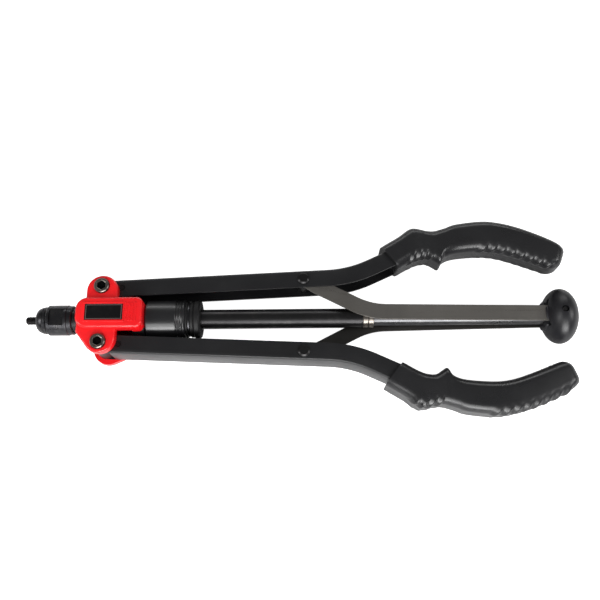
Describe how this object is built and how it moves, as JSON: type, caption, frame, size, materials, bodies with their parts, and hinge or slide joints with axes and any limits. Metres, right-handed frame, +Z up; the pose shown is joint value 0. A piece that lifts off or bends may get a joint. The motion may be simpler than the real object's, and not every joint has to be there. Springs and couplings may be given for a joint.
{
  "type": "rivet nut tool",
  "caption": "Long-armed hand tool for setting rivet nuts: red head, threaded mandrel, hinged channel arms with moulded grips, and a linked push knob that unscrews the mandrel.",
  "frame": {"origin": "under the middle of the tool, on the plane it lies on", "axes": "+X from the mandrel's tip to the knob, +Y to the upper arm, +Z up, away from the plane it lies on"},
  "size_m": [0.39, 0.1426, 0.0402],
  "materials": {
    "red_paint": "gloss, slightly pebbled",
    "label": "satin, bare",
    "black_paint": "satin",
    "black_plastic": "satin to gloss, moulded",
    "black_oxide": "blackened steel",
    "bare_steel": "bare, warm grey",
    "bright_steel": "bright",
    "bronze": "plain bearing bronze"
  },
  "bodies": {
    "head": {"head_casting": "red_paint", "label_plate": "label", "pivot_bolt_upper": "bright_steel", "pivot_bolt_lower": "bright_steel", "pivot_nut_upper": "black_oxide", "pivot_nut_lower": "black_oxide", "pivot_bush_upper": "bronze", "pivot_bush_lower": "bronze", "bearing_housing": "black_paint", "thrust_washer": "bronze", "spindle_bush": "bronze", "end_ring": "bright_steel", "rear_flange": "black_paint", "guide_tube": "black_oxide", "tube_end_collar": "bright_steel", "tube_lock_ring": "bright_steel"},
    "arm_upper": {"lever_upper": "black_paint", "toe_cam_upper": "black_oxide", "cam_rivet_upper": "black_oxide", "link_pin_upper": "bright_steel", "link_spacer_upper": "bright_steel", "grip_upper": "black_plastic"},
    "arm_lower": {"lever_lower": "black_paint", "toe_cam_lower": "black_oxide", "cam_rivet_lower": "black_oxide", "link_pin_lower": "bright_steel", "link_spacer_lower": "bright_steel", "grip_lower": "black_plastic"},
    "upper_link": {"link_upper": "bare_steel"},
    "lower_link": {"link_lower": "bare_steel"},
    "plunger": {"knob": "black_plastic", "knob_pin": "bright_steel", "push_rod": "bright_steel", "drive_nut": "bronze"},
    "nose": {"nosepiece": "black_oxide", "nose_housing": "black_oxide", "nose_sleeve": "black_oxide", "thrust_yoke": "black_oxide", "yoke_ring_nut": "black_oxide"},
    "mandrel_drive": {"mandrel": "black_oxide", "mandrel_holder": "black_oxide", "twisted_spindle": "bright_steel"}
  },
  "joints": [
    {"name": "upper_arm_hinge", "type": "hinge", "parent": "head", "child": "arm_upper", "pos_m": [-0.1385, 0.02, 0.02], "axis": [0, 0, 1], "range_deg": [0, 27]},
    {"name": "lower_arm_hinge", "type": "hinge", "parent": "head", "child": "arm_lower", "pos_m": [-0.1385, -0.02, 0.02], "axis": [0, 0, 1], "range_deg": [-27, 0]},
    {"name": "upper_link_hinge", "type": "hinge", "parent": "arm_upper", "child": "upper_link", "pos_m": [0.002, 0.02631, 0.02], "axis": [0, 0, 1], "range_deg": [-48.2, 0]},
    {"name": "lower_link_hinge", "type": "hinge", "parent": "arm_lower", "child": "lower_link", "pos_m": [0.002, -0.02631, 0.02], "axis": [0, 0, 1], "range_deg": [0, 48.2]},
    {"name": "knob_slide", "type": "slide", "parent": "head", "child": "plunger", "axis": [1, 0, 0], "range_m": [-0.03982, 0]},
    {"name": "nose_slide", "type": "slide", "parent": "head", "child": "nose", "axis": [1, 0, 0], "range_m": [0, 0.00397]},
    {"name": "mandrel_spin", "type": "hinge", "parent": "head", "child": "mandrel_drive", "pos_m": [-0.195, 0, 0.02], "axis": [1, 0, 0], "range_deg": [0, 716.93]}
  ],
  "couplings": [
    {"joint": "lower_arm_hinge", "follows": "upper_arm_hinge", "ratio": -1},
    {"joint": "upper_link_hinge", "follows": "upper_arm_hinge", "ratio": -1.7847},
    {"joint": "lower_link_hinge", "follows": "upper_arm_hinge", "ratio": 1.7847},
    {"joint": "knob_slide", "follows": "upper_arm_hinge", "m_per_rad": -0.084509},
    {"joint": "nose_slide", "follows": "upper_arm_hinge", "m_per_rad": 0.0084216},
    {"joint": "mandrel_spin", "follows": "upper_arm_hinge", "ratio": 26.549}
  ]
}
